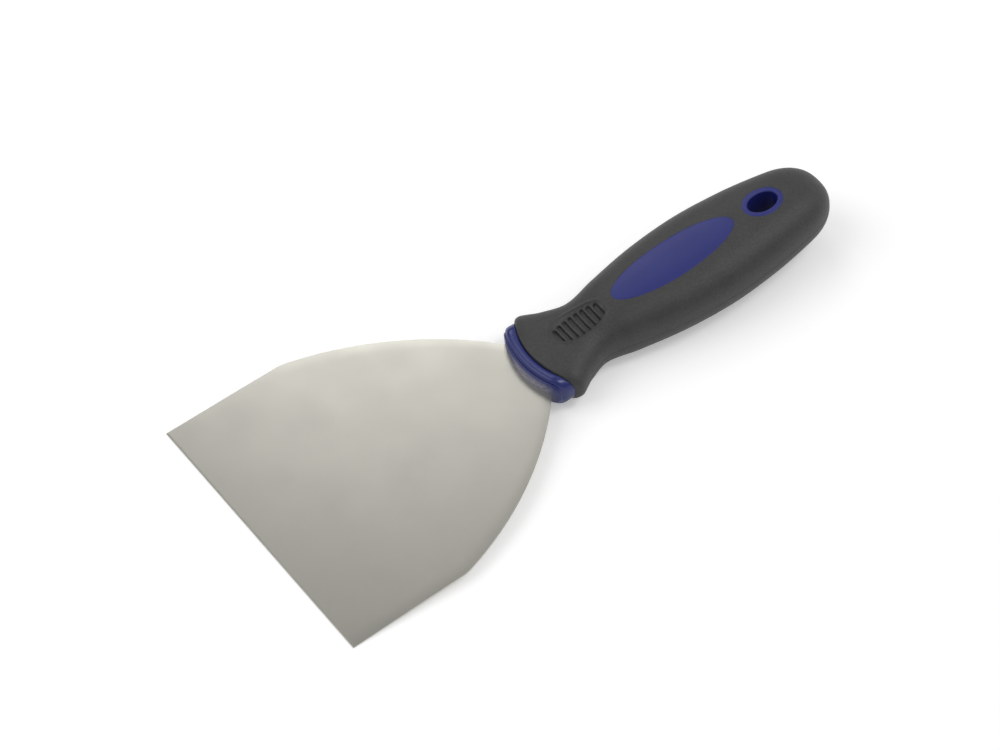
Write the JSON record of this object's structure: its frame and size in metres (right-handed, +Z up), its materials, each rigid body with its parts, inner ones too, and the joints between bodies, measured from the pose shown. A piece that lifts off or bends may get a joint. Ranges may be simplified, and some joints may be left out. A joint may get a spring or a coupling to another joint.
{
  "type": "putty knife",
  "caption": "Flexible putty knife: thin steel blade with swept sides, moulded into a hard-cored handle with a soft grip, thumb rest and hang hole.",
  "frame": {"origin": "on the table, under the middle of the tool's overall box, with the tool lying as it rests: front edge and handle belly on Z = 0", "axes": "+X from the blade's front edge towards the hang hole, +Y across the blade, +Z up; the blade leans up towards the handle by 4.07 degrees"},
  "size_m": [0.2134, 0.1, 0.0243],
  "materials": {
    "steel": "satin, finely ground",
    "hard_plastic": "deep blue moulded polypropylene, glossy collar, satin windows",
    "soft_rubber": "charcoal thermoplastic rubber, fine sand texture"
  },
  "bodies": {
    "root": {"blade": "steel", "handle_core": "hard_plastic", "soft_grip": "soft_rubber"}
  },
  "joints": []
}
